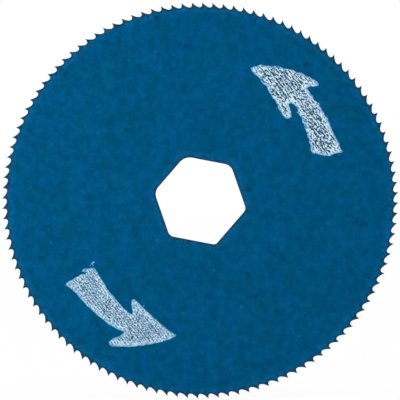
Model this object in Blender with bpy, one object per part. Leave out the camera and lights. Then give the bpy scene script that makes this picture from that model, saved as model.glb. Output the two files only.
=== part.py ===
"""Fine-toothed steel saw blade with a hex drive hole and two printed direction arrows.

The blade is one disc of sheet steel. It stands upright like a wheel: the disc lies in the XZ
plane, its axis is Y, and its front face, which carries the arrows, looks towards -Y. The
origin is the centre of the hex hole, halfway through the sheet.

Outlines are drawn in the blade's own plane, x to the right and y up as seen from the front.
Angles are in degrees and turn counter-clockwise from x, the way that the blade cuts.
"""

import math

import bpy

MM = 0.001

# Disc
OUTER_DIAMETER = 31.75 * MM  # over the tooth tips: 1-1/4 in
THICKNESS = 0.64 * MM  # 0.025 in sheet

# Teeth
TOOTH_COUNT = 120
TOOTH_DEPTH = 0.385 * MM  # from the tip circle to the bottom of a gullet
GULLET_RADIUS = 0.195 * MM
BACK_RADIUS = 1.4 * MM  # the hollow that is ground behind each tip
RAKE_ANGLE = 0.0  # 0 lays the cutting face on a radius, more leans it back under the tip
FIRST_TIP_ANGLE = 2.44
GULLET_STEPS = 5  # straight steps that an arc is cut into
BACK_STEPS = 3

# Hex drive hole
HEX_DRIVE_SIZE = 6.35 * MM  # across flats of the tool's stub: 1/4 in
HEX_CLEARANCE = 0.15 * MM  # across flats, between the stub and the hole
HEX_CORNER_RADIUS = 0.75 * MM
HEX_ANGLE = 19.15  # of the first flat's normal
HEX_CORNER_STEPS = 6

# Printed arrows: sizes across the band are radial
INK_THICKNESS = 0.05 * MM
INK_GAP = 0.01 * MM  # keeps the film clear of the face that it is printed on
ARROW_RIM_MARGIN = 1.9 * MM  # from the bottom of the gullets to the outer barb
ARROW_HEAD_WIDTH = 4.05 * MM  # from barb to barb
ARROW_TIP_DROP = 2.25 * MM  # the tip's radius is this much less than the outer barb's
ARROW_SHOULDER = 1.3 * MM  # the outer barb stands out this far beyond the shaft
ARROW_NECK_WIDTH = 1.5 * MM  # shaft, where it meets the head
ARROW_TAIL_WIDTH = 2.4 * MM  # shaft, at its tail
UPPER_ARROW_TIP_ANGLE = 68.0
LOWER_ARROW_TIP_ANGLE = 260.7
ARROW_OUTER_BARB_SPAN = 22.7  # the spans run back from the tip
ARROW_INNER_BARB_SPAN = 24.0
ARROW_NECK_SPAN = 21.5
ARROW_OUTER_TAIL_SPAN = 48.8
ARROW_INNER_TAIL_SPAN = 46.3
ARROW_BOW_POWER = 1.3  # 1 leaves the head's edges straight in angle and radius, more bows them
ARROW_EDGE_STEPS = 12


def clear_scene():
    for obj in list(bpy.context.scene.objects):
        bpy.data.objects.remove(obj, do_unlink=True)


def polar(radius, angle):
    """The point at this radius and angle in the blade's plane."""
    turn = math.radians(angle)
    return (radius * math.cos(turn), radius * math.sin(turn))


def arc(centre, radius, start, end, steps):
    """The points of an arc, both ends included."""
    points = []
    for step in range(steps + 1):
        x, y = polar(radius, start + (end - start) * step / steps)
        points.append((centre[0] + x, centre[1] + y))
    return points


def tooth(tip_angle, pitch_angle):
    """One tooth from its tip: the cutting face, the round gullet, and the next tooth's back."""
    tip_radius = OUTER_DIAMETER / 2
    next_tip = polar(tip_radius, tip_angle + pitch_angle)

    # The gullet's circle touches the cutting face and the circle at the full tooth depth.
    centre_radius = tip_radius - TOOTH_DEPTH + GULLET_RADIUS
    rake = math.radians(RAKE_ANGLE)
    reach = (GULLET_RADIUS - tip_radius * math.sin(rake)) / centre_radius
    gullet = polar(centre_radius, tip_angle + RAKE_ANGLE + math.degrees(math.asin(reach)))
    face_touch = tip_angle - RAKE_ANGLE - 90

    # The back's circle passes through the next tip and holds the gullet's circle, touching it.
    to_tip = (next_tip[0] - gullet[0], next_tip[1] - gullet[1])
    gap = math.hypot(*to_tip)
    inner = BACK_RADIUS - GULLET_RADIUS
    corner = math.degrees(math.acos((gap**2 + inner**2 - BACK_RADIUS**2) / (2 * gap * inner)))
    outward = math.degrees(math.atan2(to_tip[1], to_tip[0])) - corner
    step_out = polar(inner, outward)
    back = (gullet[0] + step_out[0], gullet[1] + step_out[1])
    circles_touch = face_touch - (face_touch - outward - 180) % 360
    tip_touch = math.degrees(math.atan2(next_tip[1] - back[1], next_tip[0] - back[0]))
    tip_touch = circles_touch - (circles_touch - tip_touch) % 360

    hollow = arc(gullet, GULLET_RADIUS, face_touch, circles_touch, GULLET_STEPS)
    rise = arc(back, BACK_RADIUS, circles_touch, tip_touch, BACK_STEPS)
    return [polar(tip_radius, tip_angle)] + hollow + rise[1:-1]


def toothed_rim():
    pitch_angle = 360 / TOOTH_COUNT
    points = []
    for number in range(TOOTH_COUNT):
        points += tooth(FIRST_TIP_ANGLE + number * pitch_angle, pitch_angle)
    return points


def hex_hole():
    """A hexagon with round corners, large enough for the drive stub."""
    apothem = (HEX_DRIVE_SIZE + HEX_CLEARANCE) / 2
    inset_apothem = apothem - HEX_CORNER_RADIUS
    centre_radius = inset_apothem / math.cos(math.radians(30))
    points = []
    for side in range(6):
        flat_normal = HEX_ANGLE + 60 * side
        corner = polar(centre_radius, flat_normal + 30)
        points += arc(corner, HEX_CORNER_RADIUS, flat_normal, flat_normal + 60, HEX_CORNER_STEPS)
    return points


def edge(start, end, bow=1.0):
    """Points from one (radius, angle) to another, evenly spaced in angle.

    A bow above 1 keeps the radius near its first value for longer.
    """
    points = []
    for step in range(ARROW_EDGE_STEPS + 1):
        part = step / ARROW_EDGE_STEPS
        radius = start[0] + (end[0] - start[0]) * part**bow
        points.append(polar(radius, start[1] + (end[1] - start[1]) * part))
    return points


def arrow(tip_angle):
    """The outline of one arrow, which curves round the hole and points counter-clockwise."""
    gullet_circle = OUTER_DIAMETER / 2 - TOOTH_DEPTH
    outer_barb_radius = gullet_circle - ARROW_RIM_MARGIN
    shaft_radius = outer_barb_radius - ARROW_SHOULDER
    neck_angle = tip_angle - ARROW_NECK_SPAN

    tip = (outer_barb_radius - ARROW_TIP_DROP, tip_angle)
    outer_barb = (outer_barb_radius, tip_angle - ARROW_OUTER_BARB_SPAN)
    inner_barb = (outer_barb_radius - ARROW_HEAD_WIDTH, tip_angle - ARROW_INNER_BARB_SPAN)
    outer_neck = (shaft_radius, neck_angle)
    inner_neck = (shaft_radius - ARROW_NECK_WIDTH, neck_angle)
    outer_tail = (shaft_radius, tip_angle - ARROW_OUTER_TAIL_SPAN)
    inner_tail = (shaft_radius - ARROW_TAIL_WIDTH, tip_angle - ARROW_INNER_TAIL_SPAN)

    outer_side = edge(outer_tail, outer_neck) + edge(outer_barb, tip, ARROW_BOW_POWER)
    inner_side = edge(inner_tail, inner_neck) + edge(inner_barb, tip, ARROW_BOW_POWER)[:-1]
    return inner_side + outer_side[::-1]


def plate(name, outlines, thickness, height, material, parent):
    """A flat piece cut to closed outlines, its mid-plane at this height in front of the parent."""
    curve = bpy.data.curves.new(name, "CURVE")
    curve.dimensions = "2D"
    curve.fill_mode = "BOTH"
    curve.extrude = thickness / 2
    for outline in outlines:
        spline = curve.splines.new("POLY")
        spline.points.add(len(outline) - 1)
        for point, (x, y) in zip(spline.points, outline):
            point.co = (x, y, 0, 1)
        spline.use_cyclic_u = True
    curve.materials.append(material)
    piece = bpy.data.objects.new(name, curve)
    piece.parent = parent
    piece.location.z = height
    bpy.context.scene.collection.objects.link(piece)
    return piece


def finish(name, colour, roughness, metallic=0.0):
    """A Principled material; the colour is linear."""
    material = bpy.data.materials.new(name)
    material.use_nodes = True
    shader = material.node_tree.nodes["Principled BSDF"]
    shader.inputs["Base Color"].default_value = (*colour, 1)
    shader.inputs["Roughness"].default_value = roughness
    shader.inputs["Metallic"].default_value = metallic
    return material


def blade_plane():
    """An empty that turns the drawing plane upright, with its height axis towards the front."""
    plane = bpy.data.objects.new("blade_plane", None)
    plane.rotation_euler.x = math.radians(90)
    bpy.context.scene.collection.objects.link(plane)
    return plane


def main():
    clear_scene()
    plane = blade_plane()

    blue_paint = finish("blue_paint", (0.001, 0.083, 0.198), roughness=0.45)
    plate("blade", [toothed_rim(), hex_hole()], THICKNESS, 0.0, blue_paint, plane)

    white_ink = finish("white_ink", (0.72, 0.78, 0.80), roughness=0.6)
    ink_height = (THICKNESS + INK_THICKNESS) / 2 + INK_GAP
    arrow_tips = {"arrow_mark_upper": UPPER_ARROW_TIP_ANGLE, "arrow_mark_lower": LOWER_ARROW_TIP_ANGLE}
    for name, tip_angle in arrow_tips.items():
        plate(name, [arrow(tip_angle)], INK_THICKNESS, ink_height, white_ink, plane)


main()
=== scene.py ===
"""A fine-toothed steel saw blade with a hex drive hole, a blue coat and two printed arrows.

Outlines are drawn in the blade's own plane, x to the right and y up as seen from the front, with
angles counter-clockwise from x. The drawing plane is then stood upright: x stays, y becomes Z and
the height above the plane becomes -Y, which is where the front face looks.
"""

import math
import random

import bmesh
import bpy
from mathutils import Matrix, Vector, geometry, noise


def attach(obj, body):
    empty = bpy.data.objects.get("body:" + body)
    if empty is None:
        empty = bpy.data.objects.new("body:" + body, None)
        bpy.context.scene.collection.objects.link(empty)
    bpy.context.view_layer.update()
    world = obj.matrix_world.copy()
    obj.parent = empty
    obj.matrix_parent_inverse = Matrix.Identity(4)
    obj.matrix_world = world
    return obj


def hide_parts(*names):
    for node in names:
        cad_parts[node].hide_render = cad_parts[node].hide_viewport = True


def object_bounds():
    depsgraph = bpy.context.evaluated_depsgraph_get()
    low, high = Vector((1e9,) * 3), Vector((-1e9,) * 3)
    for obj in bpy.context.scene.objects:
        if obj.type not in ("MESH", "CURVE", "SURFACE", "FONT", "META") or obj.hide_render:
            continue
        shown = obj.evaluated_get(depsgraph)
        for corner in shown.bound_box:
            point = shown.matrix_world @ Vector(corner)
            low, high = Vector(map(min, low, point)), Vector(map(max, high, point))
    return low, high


MM = 0.001
UPRIGHT = Matrix.Rotation(math.radians(90), 4, "X")
WELD = 0.0001 * MM  # points closer together than this become one

# The blade
OUTER_DIAMETER = 31.75 * MM
THICKNESS = 0.64 * MM
FACE = THICKNESS / 2  # height of the front face above the drawing plane
EDGE_ROUNDING = 0.015 * MM
ROUNDED_EDGE = math.radians(50)  # an edge that turns by more than this is rounded
SHARP_EDGE = math.radians(40)  # and what still turns by more than this is shaded as an edge

BLADE_SIZES = {
    "Outer Diameter": OUTER_DIAMETER,
    "Thickness": THICKNESS,
    "Tooth Count": 120,
    "First Tip Angle": math.radians(2.44),
    "Cutting Face": 0.191 * MM,  # straight part, from the tip inwards
    "Gullet Pull": 0.093 * MM,  # how far the cutting face's line pulls the curve of the gullet
    "Back Pull": (-0.668 * MM, -0.686 * MM, 0.0),  # the same for the hollow back, from its tip
    "Tooth Steps": 7,  # straight steps from the foot of one cutting face to the next tip
    "Gullet Ring": 15.2 * MM,  # radius of the ring of points just below the gullets
    "Hex Size": 6.5 * MM,  # across flats
    "Hex Angle": math.radians(19.15),  # of the first flat's normal
    "Corner Radius": 0.70 * MM,
    "Corner Wear": 0.33 * MM,  # a worn punch leaves the corners on one side rounder
    "Worn Side": math.radians(117),
    "Corner Steps": 8,  # straight steps round a corner
    "Face Rows": 8,  # rows of faces from the hole to the gullet ring
    "Rim Rows": 4,  # and from there to the teeth
    "Row Crowding": 2.0,  # above 1, the rows lie closer together near the hole
    "Column Lean": 0.3,  # steps that a column is turned by on its way in from the teeth
}

# The blue coat
ORANGE_PEEL = 0.55 * MM  # size of the ripples that a sprayed coat dries with
PEEL_HEIGHT = 0.006 * MM
TONE_DRIFT = 1.6 * MM  # size of its slower changes of tone
EDGE_SHADE_RISE = (0.08 * MM, 0.23 * MM)  # from an edge, where the painted shade along it gives way to a lighter band
BAND_FALL = (0.38 * MM, 0.66 * MM)  # and where that band runs out into the level coat
BAND_RIPPLE = 0.2 * MM  # size of the ripples in the band
RIPPLE_FALL = (0.2 * MM, 0.6 * MM)  # from an edge, where they die away
SHEAR_LINES = (0.05 * MM, 1.2 * MM, 0.05 * MM)  # size of the marks that shearing left on the walls
EDGE_WEAR = 0.12  # share of bare steel on the walls and right on their edges
WEAR_REACH = 0.15 * MM  # that share is down to about a third this far from the edge
WALL_LIMIT = 0.003 * MM  # nearer to an edge than this counts as a wall

# Marks in the coat: how far apart the places for one lie, the share of the places that have one,
# its radius, and its shade at the middle, where 1 is the plain coat. Real ones are mostly less than
# 0.1 mm across, too fine to show, so these are drawn a few tenths across.
COAT_MARKS = (
    (2.4 * MM, 0.12, 0.26 * MM, 0.5),  # pinholes
    (2.3 * MM, 0.12, 0.22 * MM, 1.6),  # grains of dust
    (1.0 * MM, 0.2, 0.15 * MM, 0.72),  # shallow pinholes
    (0.9 * MM, 0.2, 0.13 * MM, 1.32),  # fine dust
)

# The white ink
THREAD_SLANT = math.radians(52)  # how steeply the screen's threads run down to the right
PATCH_SIZE = 0.9 * MM  # of the areas where a little more or less ink came through
INK_RELIEF = 0.01 * MM  # from the bare coat up to full ink
RIM_GAIN_FALL = (0.08 * MM, 0.5 * MM)  # from the rim, where the extra ink along it gives out
THIN_RIM_RISE = (0.05 * MM, 0.22 * MM)  # and where the thin ink of the rim grows full
FEATHER = 0.08 * MM  # and how far in the rim is feathered
RIM_BEAD_SIZE = 0.16 * MM  # of the beads that the ink draws into along its rim

# How each arrow was printed. The threads are as far apart as in real screens with 110 to 120 to the
# inch, and the flecks of bare coat along them are about as fine as the view from the front can show.
INKS = {
    "arrow_mark_upper": {
        "name": "white_screen_ink_coarse",
        "fleck": (0.16 * MM, 0.06 * MM),  # length and width
        "row_spacing": 0.23 * MM,  # from thread to thread
        "cover": (0.44, 0.57),  # levels of the pattern at which the coat is bare and the ink is full
        "rim_gain": (0.02, 0.14),  # on rims facing away from the painted highlight, and on those facing it
    },
    "arrow_mark_lower": {
        "name": "white_screen_ink_fine",
        "fleck": (0.11 * MM, 0.045 * MM),
        "row_spacing": 0.21 * MM,
        "cover": (0.35, 0.63),
        "rim_gain": (0.03, 0.115),
    },
}

# The printed arrows. Each corner is a radius in mm and the degrees that it lies back from the tip.
# A bow above 1 keeps a side near the radius of its barb, or of its notch on the shaft, for longer.
# "ragged" is how far the edge strays in mm, "spray" is how many specks may land beside the arrow,
# and a stray is a streak of thin ink, given by its two ends and half its width in mm.
# A search program set most of these corners and bows. The others are the upper arrow's
# outer_tail, and the lower arrow's mid_tail, inner_tail, outer_bow and the lip's three corners.
ARROWS = {
    "arrow_mark_upper": {
        "tip_angle": 69.4,
        "tip": (11.27, -0.4),
        "outer_barb": (13.45, 24.3),
        "outer_heel": (13.22, 25.8),
        "outer_notch": (12.38, 22.6),
        "outer_tail_flare": (12.04, 40.9),
        "outer_tail": (12.06, 50.8),
        "mid_tail": (10.63, 50.1),
        "inner_tail": (9.72, 46.9),
        "inner_notch": (10.79, 23.6),
        "finger_root": (10.5, 22.1),
        "finger_side": (9.98, 27.3),
        "finger_end": (9.51, 26.1),
        "inner_barb": (9.38, 24.4),
        "outer_bow": 1.5,
        "inner_bow": 1.06,
        "shaft_bow": 1.38,
        "ragged": 0.12,
        "spray": 7,
        "strays": [],
        "seed": 3,
    },
    "arrow_mark_lower": {
        "tip_angle": 259.6,
        "tip": (10.97, -1.0),
        "outer_barb": (13.74, 21.2),
        "outer_heel": (13.51, 23.1),
        "outer_notch": (12.11, 19.5),
        "outer_tail_flare": (12.44, 40.9),
        "outer_tail": (12.87, 48.1),
        "mid_tail": (11.36, 48.1),
        "lip_root": (10.75, 47.1),
        "lip_end": (11.18, 49.0),
        "lip_top": (10.8, 49.5),
        "inner_tail": (9.98, 47.7),
        "inner_notch": (10.65, 20.7),
        "finger_root": (10.18, 22.1),
        "finger_side": (9.87, 24.3),
        "finger_end": (9.42, 23.9),
        "inner_barb": (9.49, 21.8),
        "outer_bow": 1.08,
        "inner_bow": 1.27,
        "shaft_bow": 0.23,
        "ragged": 0.06,
        "spray": 4,
        "strays": [((9.92, 49.4), (10.01, 49.3), 0.1), ((10.19, 49.1), (10.27, 49.0), 0.035)],
        "seed": 8,
    },
}
TAIL_CORNERS = ("outer_tail", "mid_tail", "lip_root", "lip_end", "lip_top", "inner_tail")
TAIL_FLARE_BOW = 2.0
INNER_SHAFT_BOW = 1.35

# The outline of the ink
SIDE_STEPS = 24  # straight steps from one corner to the next
OUTLINE_STEP = 0.055 * MM  # between the points of the finished outline
INK_SPREAD = 8  # passes that round its corners
INK_SHRINK = 0.045 * MM  # it lies this far inside the line through the corners
RAGGED_SIZE = 0.42 * MM  # of the waves in it
FINE_WAVES = 2.4  # a second set of waves is this many times finer
FINE_HEIGHT = 0.9  # and this high beside the first
INK_SETTLE = 3  # passes that calm the waves

# The film of ink
INK_THICKNESS = 0.045 * MM
INK_UNEVENNESS = 0.08  # share by which its thickness varies
UNEVEN_SIZE = 0.5 * MM  # of those swells
INK_LIFT = 0.001 * MM  # keeps it clear of the coat
RIM_FULLNESS = 0.45  # share of its thickness that it has right at its rim
RIM_SLOPE = 0.2 * MM  # distance from the rim in which it would gain a whole thickness
INK_GRID = 0.2 * MM  # between the mesh's points inside the outline
RIM_MARGIN = 0.45  # share of that which such a point stays clear of the rim
INK_SHARP_EDGE = math.radians(50)
RIM_HIGHLIGHT_ANGLE = math.radians(-30)  # the way that the rims with the painted highlight face
RIM_HIGHLIGHT_WAY = Vector((math.cos(RIM_HIGHLIGHT_ANGLE), math.sin(RIM_HIGHLIGHT_ANGLE)))

# Specks and streaks beside it
SPECK_DISTANCE = (0.1, 0.22)  # mm from the arrow's rim
SPECK_RADIUS = (0.03, 0.06)  # mm
SPECK_CORNERS = 8
CORNER_REACH = (0.7, 1.2)  # of a corner from the speck's middle, as a share of its radius
STREAK_CORNERS = 24
STREAK_RAGGED = 0.5  # share by which its outline strays
STREAK_WAVES = 1.5  # more makes them finer
STREAK_FULLNESS = 0.1  # a streak is nearly all thin ink

# The studio
LENS = 300.0  # mm, as the camera's settings have it
SENSOR = 36.0
VIEW_WIDTH = 32.05 * MM  # what the camera takes in at the front face
VIEW_CENTRE = (-0.015 * MM, 0.042 * MM)  # x and z of the point that it looks at
ROOM_LIGHT = 0.61  # strength at which the white room lights matt surfaces
MIRRORED_DARK = 0.02  # what gloss shows of the room behind the camera
LAMP_SIZE = 45 * MM
LAMP_POWER = 0.08  # watts
LAMP_PLACE = Vector((-90 * MM, -110 * MM, 10 * MM))
FLOOR_DROP = 0.02 * MM  # below the lowest tooth
FLOOR_REACH = 3.0  # metres to each side
FLOOR_GLOW = 1.055  # with the light on its matt share this comes to white
GLOW_SHARE = 0.88  # the rest stays matt, so it keeps the blade's shadow


def linear(colour):
    """An sRGB hex colour as a linear RGBA."""
    parts = [int(colour[i : i + 2], 16) / 255 for i in (1, 3, 5)]
    return (*(c / 12.92 if c <= 0.04045 else ((c + 0.055) / 1.055) ** 2.4 for c in parts), 1.0)


def add(tree, kind, *inputs, named=None, **settings):
    """Adds a node with its settings. Its inputs, in order or named, are values or what feeds them."""
    made = tree.nodes.new(kind)
    for name, value in settings.items():
        setattr(made, name, value)
    sockets = [socket for socket in made.inputs if socket.enabled]
    fed = list(zip(sockets, inputs))
    for name, value in (named or {}).items():
        fed.append((made.inputs[name], value))
    for socket, value in fed:
        if isinstance(value, bpy.types.Node):
            value = next(output for output in value.outputs if output.enabled)
        if isinstance(value, bpy.types.NodeSocket):
            tree.links.new(value, socket)
        elif value is not None:
            socket.default_value = value
    return made


# ---------------------------------------------------------------- finishes


def new_material(name):
    """A material with an empty tree, and the tree."""
    material = bpy.data.materials.new(name)
    material.use_nodes = True
    material.node_tree.nodes.clear()
    return material, material.node_tree


def painted_steel():
    """Blue enamel sprayed on stamped steel and baked: satin, with an orange peel that shows as
    mottling, and a few pinholes and grains of dust. Along an edge it is painted darker, as shade,
    with a lighter, rippled band behind that, and it is a little worn to grey steel on the edge itself."""
    material, tree = new_material("blue_baked_enamel")
    place = add(tree, "ShaderNodeTexCoord").outputs["Object"]
    peel = {"Scale": 1 / ORANGE_PEEL, "Detail": 2.0, "Roughness": 0.6}
    grain = add(tree, "ShaderNodeTexNoise", place, named=peel).outputs["Fac"]
    broad = add(tree, "ShaderNodeTexNoise", place, named={"Scale": 1 / TONE_DRIFT, "Detail": 1.0})
    tone = add(tree, "ShaderNodeMapRange", grain, 0.25, 0.75, 0.0, 1.0)
    drift = add(tree, "ShaderNodeMapRange", broad.outputs["Fac"], 0.3, 0.7, 0.0, 1.0)
    darker = add(tree, "ShaderNodeMix", drift, linear("#004869"), linear("#00476d"), data_type="RGBA")
    lighter = add(tree, "ShaderNodeMix", drift, linear("#005a87"), linear("#005991"), data_type="RGBA")
    colour = add(tree, "ShaderNodeMix", tone, darker, lighter, data_type="RGBA")

    # The marks are laid out in the plane of the face, each kind with its own offset.
    flat = add(tree, "ShaderNodeMapping", place, named={"Rotation": (math.radians(-90), 0.0, 0.0)})
    for spacing, share, size, shade in COAT_MARKS:
        offset = (shade * spacing, size, 0.0)
        moved = add(tree, "ShaderNodeVectorMath", flat, offset, operation="ADD")
        scale = {"Scale": 1 / spacing}
        cells = add(tree, "ShaderNodeTexVoronoi", moved, named=scale, voronoi_dimensions="2D")
        lot = add(tree, "ShaderNodeSeparateColor", cells.outputs["Color"])
        chosen = add(tree, "ShaderNodeMath", lot, share, operation="LESS_THAN")
        mark = add(
            tree,
            "ShaderNodeMapRange",
            cells.outputs["Distance"],
            0.0,
            size / spacing,
            shade,
            1.0,
            interpolation_type="SMOOTHSTEP",
        )
        factor = add(tree, "ShaderNodeMix", chosen, 1.0, mark)
        colour = add(tree, "ShaderNodeVectorMath", colour, factor, operation="SCALE")

    # The walls were sheared, so fine lines run across them from front to back.
    grooves = add(tree, "ShaderNodeMapping", place, vector_type="TEXTURE", named={"Scale": SHEAR_LINES})
    sheared = add(tree, "ShaderNodeTexNoise", grooves, named={"Scale": 1.0, "Detail": 1.0})
    wall_tone = add(tree, "ShaderNodeMapRange", sheared.outputs["Fac"], 0.3, 0.7, 0.6, 0.9)

    # Along an edge the coat is painted darker, as shade, then lighter on a rippled band, then level.
    from_edge = add(tree, "ShaderNodeAttribute", attribute_name="from_edge").outputs["Fac"]
    edge_shade_and_band = add(tree, "ShaderNodeMapRange", from_edge, *EDGE_SHADE_RISE, 0.62, 1.17)
    level = add(tree, "ShaderNodeMapRange", from_edge, *BAND_FALL, 1.0, 0.865)
    ripple = add(tree, "ShaderNodeTexNoise", place, named={"Scale": 1 / BAND_RIPPLE, "Detail": 1.0})
    rippled = add(tree, "ShaderNodeMapRange", ripple.outputs["Fac"], 0.3, 0.7, 0.7, 1.3)
    calm = add(tree, "ShaderNodeMapRange", from_edge, *RIPPLE_FALL, 0.0, 1.0)
    rippled = add(tree, "ShaderNodeMix", calm, rippled, 1.0)
    depth = add(tree, "ShaderNodeMath", edge_shade_and_band, level, operation="MULTIPLY")
    depth = add(tree, "ShaderNodeMath", depth, rippled, operation="MULTIPLY")

    # On the walls the distance is 0 all over, and at an edge the steel begins to show.
    on_face = add(tree, "ShaderNodeMath", from_edge, WALL_LIMIT, operation="GREATER_THAN")
    depth = add(tree, "ShaderNodeMix", on_face, wall_tone, depth)
    # This scales the colour by the painted shade along the edges, and on the walls by their tone.
    colour = add(tree, "ShaderNodeVectorMath", colour, depth, operation="SCALE")
    worn = add(
        tree,
        "ShaderNodeMath",
        from_edge,
        -1 / WEAR_REACH,
        math.log(EDGE_WEAR),
        operation="MULTIPLY_ADD",
    )
    worn = add(tree, "ShaderNodeMath", worn, operation="EXPONENT")
    colour = add(tree, "ShaderNodeMix", worn, colour, linear("#5a656a"), data_type="RGBA")

    rough = add(tree, "ShaderNodeMapRange", grain, 0.3, 0.7, 0.40, 0.50)
    bump = add(tree, "ShaderNodeBump", named={"Strength": 0.5, "Distance": PEEL_HEIGHT, "Height": grain})
    shader = add(
        tree,
        "ShaderNodeBsdfPrincipled",
        named={
            "Base Color": colour,
            "Roughness": rough,
            "Specular IOR Level": 0.25,
            "Specular Tint": linear("#2cc0ff"),
            "Normal": bump,
        },
    )
    add(tree, "ShaderNodeOutputMaterial", shader)
    return material


def screen_print_ink(name, fleck, row_spacing, cover, rim_gain):
    """White ink pressed through a fine screen by a squeegee: matt, a little fuller along its rim, with
    a painted highlight on the rims that face right and a little down, and broken inside by flecks
    of bare coat in rows along the threads. At the very rim it is thin, so the blue coat shows through."""
    material, tree = new_material(name)
    place = add(tree, "ShaderNodeTexCoord").outputs["Object"]

    long, short = fleck
    slant = add(
        tree,
        "ShaderNodeMapping",
        place,
        vector_type="TEXTURE",
        named={"Rotation": (0.0, THREAD_SLANT, 0.0), "Scale": (long, 1.0 * MM, short)},
    )
    flecks = add(tree, "ShaderNodeTexNoise", slant, named={"Scale": 1.0, "Detail": 0.0})
    # At a scale of 1 the wave would repeat every tau / 20 of a fleck's width.
    weave = {
        "Scale": math.tau / 20 * short / row_spacing,
        "Distortion": 2.5,
        "Detail": 1.0,
        "Detail Scale": 1.5,
    }
    threads = add(tree, "ShaderNodeTexWave", slant, bands_direction="Z", named=weave)
    patches = add(tree, "ShaderNodeTexNoise", place, named={"Scale": 1 / PATCH_SIZE, "Detail": 1.0})
    rows = add(tree, "ShaderNodeMapRange", threads.outputs["Fac"], 0.0, 1.0, 0.3, 0.7)
    broken = add(tree, "ShaderNodeMix", 0.3, flecks.outputs["Fac"], rows)
    broken = add(tree, "ShaderNodeMix", 0.1, broken, patches.outputs["Fac"])

    from_edge = add(tree, "ShaderNodeAttribute", attribute_name="from_edge").outputs["Fac"]
    rim_highlight_facing = add(tree, "ShaderNodeAttribute", attribute_name="rim_highlight_facing").outputs["Fac"]
    # Extra ink along the rim, and more on rims that face right and a little down: a painted highlight.
    rim = add(tree, "ShaderNodeMapRange", from_edge, *RIM_GAIN_FALL, 1.0, 0.0)
    gain = add(tree, "ShaderNodeMapRange", rim_highlight_facing, 0.0, 1.0, *rim_gain)
    held = add(tree, "ShaderNodeMath", rim, gain, broken, operation="MULTIPLY_ADD")
    inked = add(tree, "ShaderNodeMapRange", held, *cover, 0.0, 1.0)

    # From the bare coat through thin ink to full ink
    first = add(tree, "ShaderNodeMapRange", inked, 0.0, 0.5, 0.0, 1.0)
    second = add(tree, "ShaderNodeMapRange", inked, 0.5, 1.0, 0.0, 1.0)
    colour = add(tree, "ShaderNodeMix", first, linear("#12455e"), linear("#6aa0c6"), data_type="RGBA")
    colour = add(tree, "ShaderNodeMix", second, colour, linear("#def3ff"), data_type="RGBA")

    # The rim is thin and bluer between its beads, and feathers out at the last.
    near_rim = add(tree, "ShaderNodeMapRange", from_edge, *THIN_RIM_RISE, 1.0, 0.0)
    beads = add(tree, "ShaderNodeTexNoise", place, named={"Scale": 1 / RIM_BEAD_SIZE, "Detail": 0.0})
    clear = add(tree, "ShaderNodeMapRange", beads, 0.38, 0.62, 1.0, 0.15)
    # Where a rim faces the painted highlight its thin ink is less, so it shows lighter there.
    thin_rim_cut_by_highlight = add(tree, "ShaderNodeMapRange", rim_highlight_facing, 0.0, 1.0, 1.0, 0.75)
    thin_rim = add(tree, "ShaderNodeMath", near_rim, clear, operation="MULTIPLY")
    thin_rim = add(tree, "ShaderNodeMath", thin_rim, thin_rim_cut_by_highlight, operation="MULTIPLY")
    colour = add(tree, "ShaderNodeMix", thin_rim, colour, linear("#50aad7"), data_type="RGBA")
    feather = add(tree, "ShaderNodeMapRange", from_edge, 0.0, FEATHER, 0.6, 0.0)
    colour = add(tree, "ShaderNodeMix", feather, colour, linear("#2c93c4"), data_type="RGBA")

    bump = add(tree, "ShaderNodeBump", named={"Strength": 0.6, "Distance": INK_RELIEF, "Height": inked})
    shader = add(
        tree,
        "ShaderNodeBsdfPrincipled",
        named={"Base Color": colour, "Roughness": 0.6, "Specular IOR Level": 0.3, "Normal": bump},
    )
    add(tree, "ShaderNodeOutputMaterial", shader)
    return material


# ---------------------------------------------------------------- blade


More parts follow.
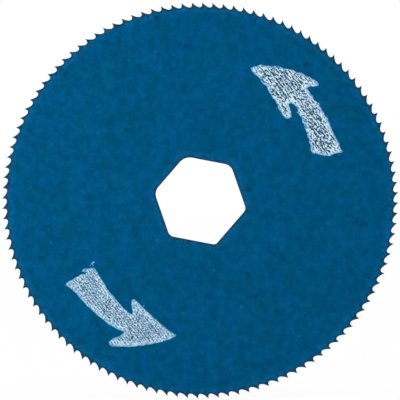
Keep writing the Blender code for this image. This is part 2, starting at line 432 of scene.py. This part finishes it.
def blade_tree(material):
    """The blade as a node tree: one tooth repeated round a disc with a hex hole.

    A grid is wrapped round the disc. Each of its columns runs from a point on the hole, through
    one on the ring just below the gullets, to one on the outline of a tooth.
    """
    tree = bpy.data.node_groups.new("saw_blade", "GeometryNodeTree")
    for name, size in BLADE_SIZES.items():
        kind = {int: "NodeSocketInt", float: "NodeSocketFloat", tuple: "NodeSocketVector"}[type(size)]
        tree.interface.new_socket(name, in_out="INPUT", socket_type=kind)
    tree.interface.new_socket("Blade", in_out="OUTPUT", socket_type="NodeSocketGeometry")
    sizes = add(tree, "NodeGroupInput").outputs
    place = add(tree, "GeometryNodeInputPosition")
    tip_radius = add(tree, "ShaderNodeMath", sizes["Outer Diameter"], 0.5, operation="MULTIPLY")
    teeth = sizes["Tooth Count"]
    pitch = add(tree, "ShaderNodeMath", math.tau, teeth, operation="DIVIDE")

    # One tooth: the gullet and the hollow back, from the foot of a cutting face to the next tip
    foot = add(tree, "ShaderNodeMath", tip_radius, sizes["Cutting Face"], operation="SUBTRACT")
    gullet_pull = add(tree, "ShaderNodeMath", foot, sizes["Gullet Pull"], operation="SUBTRACT")
    tip = add(tree, "ShaderNodeCombineXYZ", tip_radius)
    back_pull = add(tree, "ShaderNodeVectorMath", tip, sizes["Back Pull"], operation="ADD")
    tooth = add(
        tree,
        "GeometryNodeCurvePrimitiveBezierSegment",
        sizes["Tooth Steps"],
        add(tree, "ShaderNodeCombineXYZ", foot),
        add(tree, "ShaderNodeCombineXYZ", gullet_pull),
        add(tree, "ShaderNodeVectorRotate", back_pull, None, pitch, rotation_type="Z_AXIS"),
        add(tree, "ShaderNodeVectorRotate", tip, None, pitch, rotation_type="Z_AXIS"),
    )
    tooth = add(tree, "GeometryNodeCurveToMesh", tooth)

    # The hex hole, whose corners are rounder on the side where the punch was worn
    hex_radius = add(tree, "ShaderNodeMath", sizes["Hex Size"], math.sqrt(3), operation="DIVIDE")
    hexagon = add(tree, "GeometryNodeCurvePrimitiveCircle", 6, hex_radius)
    first_corner = add(tree, "ShaderNodeMath", sizes["Hex Angle"], math.radians(30), operation="ADD")
    turned = add(tree, "ShaderNodeVectorRotate", place, None, first_corner, rotation_type="Z_AXIS")
    hexagon = add(tree, "GeometryNodeSetPosition", hexagon, None, turned)
    outward = add(tree, "ShaderNodeVectorMath", place, operation="NORMALIZE")
    right = (1.0, 0.0, 0.0)
    worn = add(tree, "ShaderNodeVectorRotate", right, None, sizes["Worn Side"], rotation_type="Z_AXIS")
    facing = add(tree, "ShaderNodeVectorMath", outward, worn, operation="DOT_PRODUCT").outputs["Value"]
    corner = add(
        tree,
        "ShaderNodeMath",
        facing,
        sizes["Corner Wear"],
        sizes["Corner Radius"],
        operation="MULTIPLY_ADD",
    )
    hole = add(tree, "GeometryNodeFilletCurve", hexagon, sizes["Corner Steps"], corner, mode="POLY")

    # The grid: its columns are counted round the disc and its rows from the hole outwards
    tooth_columns = add(tree, "FunctionNodeIntegerMath", sizes["Tooth Steps"], 1, operation="ADD")
    columns = add(tree, "FunctionNodeIntegerMath", teeth, tooth_columns, operation="MULTIPLY")
    rows = add(tree, "FunctionNodeIntegerMath", sizes["Face Rows"], sizes["Rim Rows"], operation="ADD")
    column_points = add(tree, "FunctionNodeIntegerMath", rows, 1, operation="ADD")
    row_points = add(tree, "FunctionNodeIntegerMath", columns, 1, operation="ADD")
    grid = add(tree, "GeometryNodeMeshGrid", 1.0, 1.0, row_points, column_points)
    index = add(tree, "GeometryNodeInputIndex")
    column = add(tree, "FunctionNodeIntegerMath", index, column_points, operation="DIVIDE_FLOOR")
    row = add(tree, "FunctionNodeIntegerMath", index, column_points, operation="MODULO")
    tooth_number = add(tree, "FunctionNodeIntegerMath", column, tooth_columns, operation="DIVIDE_FLOOR")
    step = add(tree, "FunctionNodeIntegerMath", column, tooth_columns, operation="MODULO")

    # Where each column meets the teeth, the ring and the hole
    tooth_turn = add(
        tree,
        "ShaderNodeMath",
        tooth_number,
        pitch,
        sizes["First Tip Angle"],
        operation="MULTIPLY_ADD",
    )
    on_tooth = add(
        tree,
        "GeometryNodeSampleIndex",
        tooth,
        place,
        step,
        data_type="FLOAT_VECTOR",
        clamp=True,
    )
    on_tooth = add(tree, "ShaderNodeVectorRotate", on_tooth, None, tooth_turn, rotation_type="Z_AXIS")
    part = add(tree, "ShaderNodeMath", step, sizes["Column Lean"], operation="ADD")
    part = add(tree, "ShaderNodeMath", part, tooth_columns, operation="DIVIDE")
    turn = add(tree, "ShaderNodeMath", part, pitch, tooth_turn, operation="MULTIPLY_ADD")
    on_ring = add(tree, "ShaderNodeCombineXYZ", sizes["Gullet Ring"])
    on_ring = add(tree, "ShaderNodeVectorRotate", on_ring, None, turn, rotation_type="Z_AXIS")
    past_corner = add(tree, "ShaderNodeMath", turn, first_corner, operation="SUBTRACT")
    past_corner = add(tree, "ShaderNodeMath", past_corner, math.tau, operation="DIVIDE")
    past_corner = add(tree, "ShaderNodeMath", past_corner, operation="FRACT")
    on_hole = add(tree, "GeometryNodeSampleCurve", hole, None, past_corner, mode="FACTOR")
    on_hole = on_hole.outputs["Position"]

    # One face: the rows are spread between the three, closer together near the hole
    to_ring = add(tree, "ShaderNodeMapRange", row, 0.0, sizes["Face Rows"], 0.0, 1.0)
    to_ring = add(tree, "ShaderNodeMath", to_ring, sizes["Row Crowding"], operation="POWER")
    to_rim = add(tree, "ShaderNodeMapRange", row, sizes["Face Rows"], rows, 0.0, 1.0)
    spread = add(tree, "ShaderNodeMix", to_ring, on_hole, on_ring, data_type="VECTOR")
    spread = add(tree, "ShaderNodeMix", to_rim, spread, on_tooth, data_type="VECTOR")
    half = add(tree, "ShaderNodeMath", sizes["Thickness"], 0.5, operation="MULTIPLY")
    raised = add(tree, "ShaderNodeCombineXYZ", 0.0, 0.0, half)
    face = add(tree, "GeometryNodeSetPosition", grid, None, spread, raised)
    face = add(tree, "GeometryNodeMergeByDistance", face, None, WELD)

    # How far each point of the face is from the nearest edge, for the coat
    bordering = add(tree, "GeometryNodeInputMeshEdgeNeighbors")
    is_border = add(tree, "FunctionNodeCompare", bordering, 1, data_type="INT", operation="EQUAL")
    border = add(tree, "GeometryNodeSeparateGeometry", face, is_border, domain="EDGE")
    nearest = add(tree, "GeometryNodeProximity", border, target_element="EDGES").outputs["Distance"]
    face = add(tree, "GeometryNodeStoreNamedAttribute", face, None, "from_edge", nearest, data_type="FLOAT")

    # The walls and the back are drawn out of that face, and its flipped copy closes the front
    drawn = add(
        tree,
        "GeometryNodeExtrudeMesh",
        face,
        None,
        (0.0, 0.0, -1.0),
        sizes["Thickness"],
        False,
        mode="FACES",
    )
    front = add(tree, "GeometryNodeFlipFaces", face)
    shell = add(tree, "GeometryNodeJoinGeometry", drawn)
    tree.links.new(front.outputs["Mesh"], shell.inputs["Geometry"])
    shell = add(tree, "GeometryNodeMergeByDistance", shell, None, WELD)
    upright = add(tree, "GeometryNodeTransform", shell, named={"Rotation": (math.radians(90), 0.0, 0.0)})
    real = add(tree, "GeometryNodeRealizeInstances", upright)
    painted = add(tree, "GeometryNodeSetMaterial", real, None, material)
    add(tree, "NodeGroupOutput", painted)
    return tree


def plain_mesh(name, tree, sizes):
    """The mesh that the node tree makes with these sizes, as an object with no modifier."""
    carrier = bpy.data.objects.new(name, bpy.data.meshes.new(name))
    bpy.context.scene.collection.objects.link(carrier)
    modifier = carrier.modifiers.new("shape", "NODES")
    modifier.node_group = tree
    for socket in tree.interface.items_tree:
        if socket.in_out == "INPUT":
            modifier[socket.identifier] = sizes[socket.name]
    depsgraph = bpy.context.evaluated_depsgraph_get()
    mesh = bpy.data.meshes.new_from_object(carrier.evaluated_get(depsgraph), depsgraph=depsgraph)
    carrier.modifiers.remove(modifier)
    carrier.data = mesh
    return carrier


def soften(piece, width):
    """Rounds the piece's edges a little, and shades it smooth between its sharp edges."""
    bevel = piece.modifiers.new("edge", "BEVEL")
    bevel.width = width
    bevel.segments = 2
    bevel.limit_method = "ANGLE"
    bevel.angle_limit = ROUNDED_EDGE
    bevel.use_clamp_overlap = True
    depsgraph = bpy.context.evaluated_depsgraph_get()
    mesh = bpy.data.meshes.new_from_object(piece.evaluated_get(depsgraph), depsgraph=depsgraph)
    piece.modifiers.remove(bevel)
    piece.data = mesh
    mesh.shade_smooth()
    mesh.set_sharp_from_angle(angle=SHARP_EDGE)


# ---------------------------------------------------------------- printed arrows


def polar(radius, angle):
    """The point at this radius and angle in the blade's plane."""
    turn = math.radians(angle)
    return Vector((radius * math.cos(turn), radius * math.sin(turn)))


def side(arrow, start, end, bow=1.0):
    """Points from one corner to the next; a bow above 1 keeps the first radius for longer."""
    start_radius, start_back = arrow[start]
    end_radius, end_back = arrow[end]
    points = []
    for step in range(SIDE_STEPS):
        part = step / SIDE_STEPS
        radius = start_radius + (end_radius - start_radius) * part**bow
        back = start_back + (end_back - start_back) * part
        points.append(polar(radius * MM, arrow["tip_angle"] - back))
    return points


def evenly_spaced(points, spacing):
    """The closed outline again, with its points this far apart."""
    ends = points[1:] + points[:1]
    lengths = [(b - a).length for a, b in zip(points, ends)]
    count = round(sum(lengths) / spacing)
    spaced = []
    piece = 0
    walked = 0.0
    for number in range(count):
        wanted = sum(lengths) * number / count
        while walked + lengths[piece] < wanted:
            walked += lengths[piece]
            piece += 1
        spaced.append(points[piece].lerp(ends[piece], (wanted - walked) / lengths[piece]))
    return spaced


def smoothed(points, passes):
    """The closed outline with its corners run together, as wet ink does."""
    for _ in range(passes):
        before = points[-1:] + points
        after = points[1:] + points[:1]
        points = [(a + b * 2 + c) / 4 for a, b, c in zip(before, points, after)]
    return points


def arrow_outline(arrow):
    """One arrow's outline, counter-clockwise, with its corners run together and its edge ragged."""
    tail = [corner for corner in TAIL_CORNERS if corner in arrow]
    tail_end = []
    for start, end in zip(tail, tail[1:]):
        tail_end += side(arrow, start, end)
    rough = (
        side(arrow, "tip", "outer_barb", 1 / arrow["outer_bow"])
        + side(arrow, "outer_barb", "outer_heel")
        + side(arrow, "outer_heel", "outer_notch")
        + side(arrow, "outer_notch", "outer_tail_flare", arrow["shaft_bow"])
        + side(arrow, "outer_tail_flare", "outer_tail", TAIL_FLARE_BOW)
        + tail_end
        + side(arrow, "inner_tail", "inner_notch", INNER_SHAFT_BOW)
        + side(arrow, "inner_notch", "finger_root")
        + side(arrow, "finger_root", "finger_side")
        + side(arrow, "finger_side", "finger_end")
        + side(arrow, "finger_end", "inner_barb")
        + side(arrow, "inner_barb", "tip", arrow["inner_bow"])
    )
    points = smoothed(evenly_spaced(rough[::-1], OUTLINE_STEP), INK_SPREAD)
    ragged = []
    for before, point, after in zip(points[-1:] + points, points, points[1:] + points[:1]):
        way = (after - before).normalized()
        place = Vector((*point, arrow["seed"] * MM)) / RAGGED_SIZE
        waves = noise.noise(place) + FINE_HEIGHT * noise.noise(place * FINE_WAVES)
        out = arrow["ragged"] * waves
        ragged.append(point + Vector((way.y, -way.x)) * (out * MM - INK_SHRINK))
    return smoothed(ragged, INK_SETTLE)


def rim_near(outline, point):
    """How far the point is from the closed outline, and the way that the outline faces there."""
    best = math.inf
    facing = None
    for a, b in zip(outline, outline[1:] + outline[:1]):
        nearest, part = geometry.intersect_point_line(point, a, b)
        if part < 0:
            nearest = a
        elif part > 1:
            nearest = b
        distance = (point - Vector(nearest[:2])).length
        if distance < best:
            best = distance
            facing = Vector((b.y - a.y, a.x - b.x)).normalized()
    return best, facing


def inside(outline, point):
    """True if the point is within the closed outline."""
    odd = False
    for a, b in zip(outline, outline[1:] + outline[:1]):
        if (a.y > point.y) != (b.y > point.y):
            odd ^= point.x < a.x + (point.y - a.y) / (b.y - a.y) * (b.x - a.x)
    return odd


def streak_outline(arrow, start, end, half_width):
    """The outline of a thin streak of ink between two points, counter-clockwise and ragged."""
    start_radius, start_back = start
    end_radius, end_back = end
    first = polar(start_radius * MM, arrow["tip_angle"] - start_back)
    last = polar(end_radius * MM, arrow["tip_angle"] - end_back)
    along = (last - first).normalized()
    across = Vector((-along.y, along.x))
    half_length = (last - first).length / 2 + half_width * MM
    points = []
    for turn in range(0, 360, 360 // STREAK_CORNERS):
        x, y = polar(1, turn)
        # The last coordinate gives each streak waves of its own.
        place = Vector((x, y, end_radius * 9)) * STREAK_WAVES
        ragged = 1 + STREAK_RAGGED * noise.noise(place)
        out = along * half_length * x + across * half_width * MM * y
        points.append((first + last) / 2 + out * ragged)
    return points


def add_film(shape, outline, fullness=1.0):
    """Adds one closed patch of ink to the mesh, thin at its rim, or all over if less than full.

    Each vertex notes how far it is from the rim, and how squarely the rim near it faces the way of
    the painted highlight: 1 where it faces that way, and 0 where it faces away.
    """
    from_edge = shape.verts.layers.float["from_edge"]
    rim_highlight_facing = shape.verts.layers.float["rim_highlight_facing"]
    low = Vector((min(p.x for p in outline), min(p.y for p in outline)))
    high = Vector((max(p.x for p in outline), max(p.y for p in outline)))
    points = list(outline)
    row_height = INK_GRID * math.sqrt(3) / 2
    for row in range(int((high.y - low.y) / row_height) + 1):
        for column in range(int((high.x - low.x) / INK_GRID) + 2):
            point = low + Vector(((column - row % 2 / 2) * INK_GRID, row * row_height))
            if inside(outline, point) and rim_near(outline, point)[0] > INK_GRID * RIM_MARGIN:
                points.append(point)
    loop = [(i, (i + 1) % len(outline)) for i in range(len(outline))]
    inside_the_loop = 1
    points, _, faces, *_ = geometry.delaunay_2d_cdt(points, loop, [], inside_the_loop, 1e-9)

    tops = []
    bottoms = []
    for point in points:
        rim, facing = rim_near(outline, point)
        rim *= fullness
        full = min(1.0, RIM_FULLNESS + rim / RIM_SLOPE)
        uneven = 1 + INK_UNEVENNESS * noise.noise(Vector((*point, 0)) / UNEVEN_SIZE)
        height = INK_THICKNESS * full * uneven
        for stack, level in ((tops, FACE + height), (bottoms, FACE + INK_LIFT)):
            vertex = shape.verts.new(UPRIGHT @ Vector((*point, level)))
            vertex[from_edge] = rim
            vertex[rim_highlight_facing] = (1 + facing.dot(RIM_HIGHLIGHT_WAY)) / 2
            stack.append(vertex)

    # An edge that no second face runs back along is on the rim, and gets a wall.
    edges = {}
    for face in faces:
        shape.faces.new([tops[i] for i in face])
        shape.faces.new([bottoms[i] for i in reversed(face)])
        for a, b in zip(face, face[1:] + face[:1]):
            edges[(a, b)] = True
    for a, b in edges:
        if (b, a) not in edges:
            shape.faces.new((tops[b], tops[a], bottoms[a], bottoms[b]))


def printed_arrow(name, arrow, material):
    """The ink film of one arrow, with the specks and streaks that the screen left beside it."""
    shape = bmesh.new()
    shape.verts.layers.float.new("from_edge")
    shape.verts.layers.float.new("rim_highlight_facing")
    outline = arrow_outline(arrow)
    add_film(shape, outline)
    draw = random.Random(arrow["seed"])
    centre = sum(outline, Vector((0, 0))) / len(outline)
    for _ in range(arrow["spray"]):
        spot = outline[draw.randrange(len(outline))]
        away = (spot - centre).normalized() * draw.uniform(*SPECK_DISTANCE) * MM
        size = draw.uniform(*SPECK_RADIUS) * MM
        turn = draw.uniform(0, 360)
        if not inside(outline, spot + away):
            speck = []
            for corner in range(SPECK_CORNERS):
                reach = size * draw.uniform(*CORNER_REACH)
                speck.append(spot + away + polar(reach, turn + 360 / SPECK_CORNERS * corner))
            add_film(shape, speck)
    for start, end, half_width in arrow["strays"]:
        add_film(shape, streak_outline(arrow, start, end, half_width), STREAK_FULLNESS)
    mesh = bpy.data.meshes.new(name)
    bmesh.ops.recalc_face_normals(shape, faces=shape.faces)
    shape.to_mesh(mesh)
    shape.free()
    mesh.materials.append(material)
    mesh.shade_smooth()
    mesh.set_sharp_from_angle(angle=INK_SHARP_EDGE)
    piece = bpy.data.objects.new(name, mesh)
    bpy.context.scene.collection.objects.link(piece)
    return piece


# ---------------------------------------------------------------- studio


def studio(lowest):
    """Camera, plain white surroundings, one soft lamp and a pale floor."""
    scene = bpy.context.scene
    scene.view_settings.view_transform = "Standard"

    camera = bpy.data.objects.new("camera", bpy.data.cameras.new("camera"))
    camera.data.lens = LENS
    camera.data.sensor_width = SENSOR
    camera.data.clip_start = 0.01
    camera.data.clip_end = 10.0
    distance = VIEW_WIDTH / SENSOR * LENS
    camera.location = (VIEW_CENTRE[0], -FACE - distance, VIEW_CENTRE[1])
    camera.rotation_euler = (math.radians(90), 0, 0)
    scene.collection.objects.link(camera)
    scene.camera = camera

    world = bpy.data.worlds.new("white_room")
    world.use_nodes = True
    tree = world.node_tree
    tree.nodes.clear()
    rays = add(tree, "ShaderNodeLightPath").outputs
    # The room is dark behind the camera, so the front face has no white to mirror.
    direction = add(tree, "ShaderNodeTexCoord").outputs["Generated"]
    depth = add(tree, "ShaderNodeSeparateXYZ", direction).outputs["Y"]
    room = add(
        tree,
        "ShaderNodeMapRange",
        depth,
        -0.75,
        -0.25,
        MIRRORED_DARK,
        1.0,
        interpolation_type="SMOOTHSTEP",
    )
    seen = add(tree, "ShaderNodeMix", rays["Is Glossy Ray"], ROOM_LIGHT, room)
    seen = add(tree, "ShaderNodeMix", rays["Is Transmission Ray"], seen, 1.0)
    seen = add(tree, "ShaderNodeMix", rays["Is Camera Ray"], seen, 1.0)
    background = add(tree, "ShaderNodeBackground", (1.0, 1.0, 1.0, 1.0), seen)
    add(tree, "ShaderNodeOutputWorld", background)
    world.cycles.sampling_method = "NONE"  # the room has no bright spot to search for
    scene.world = world

    lamp_data = bpy.data.lights.new("soft_lamp", "AREA")
    lamp_data.shape = "SQUARE"
    lamp_data.size = LAMP_SIZE
    lamp_data.energy = LAMP_POWER
    lamp = bpy.data.objects.new("soft_lamp", lamp_data)
    lamp.location = LAMP_PLACE
    lamp.rotation_euler = (-LAMP_PLACE).to_track_quat("-Z", "Y").to_euler()
    lamp.visible_camera = False
    scene.collection.objects.link(lamp)

    # Matt white paper: plain and even, with no sheen. To the camera and in mirrors it glows white.
    paper, tree = new_material("white_paper")
    rays = add(tree, "ShaderNodeLightPath").outputs
    matt = add(tree, "ShaderNodeBsdfDiffuse", linear("#f2f2f2"))
    glow = add(tree, "ShaderNodeEmission", (1.0, 1.0, 1.0, 1.0), FLOOR_GLOW)
    shown = add(tree, "ShaderNodeMath", rays["Is Camera Ray"], rays["Is Glossy Ray"], operation="MAXIMUM")
    shown = add(tree, "ShaderNodeMath", shown, rays["Is Transmission Ray"], operation="MAXIMUM")
    share = add(tree, "ShaderNodeMath", shown, GLOW_SHARE, operation="MULTIPLY")
    add(tree, "ShaderNodeOutputMaterial", add(tree, "ShaderNodeMixShader", share, matt, glow))
    mesh = bpy.data.meshes.new("floor")
    corners = []
    for x, y in ((-1, -1), (1, -1), (1, 1), (-1, 1)):
        corners.append((x * FLOOR_REACH, y * FLOOR_REACH, lowest - FLOOR_DROP))
    mesh.from_pydata(corners, [], [(0, 1, 2, 3)])
    mesh.materials.append(paper)
    floor = bpy.data.objects.new("floor", mesh)
    scene.collection.objects.link(floor)


# ---------------------------------------------------------------- assembly

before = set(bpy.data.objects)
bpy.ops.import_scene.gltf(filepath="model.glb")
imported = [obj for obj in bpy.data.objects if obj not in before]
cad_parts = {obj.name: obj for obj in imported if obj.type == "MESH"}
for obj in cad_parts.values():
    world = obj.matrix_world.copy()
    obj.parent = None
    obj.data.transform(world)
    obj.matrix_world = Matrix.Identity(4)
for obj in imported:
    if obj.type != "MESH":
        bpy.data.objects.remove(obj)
cad_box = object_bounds()

enamel = painted_steel()
blade = plain_mesh("toothed_blade", blade_tree(enamel), BLADE_SIZES)
soften(blade, EDGE_ROUNDING)
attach(blade, "root")
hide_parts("blade")

for node, arrow in ARROWS.items():
    film = printed_arrow("ink_" + node, arrow, screen_print_ink(**INKS[node]))
    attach(film, "root")
    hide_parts(node)

studio(cad_box[0].z)
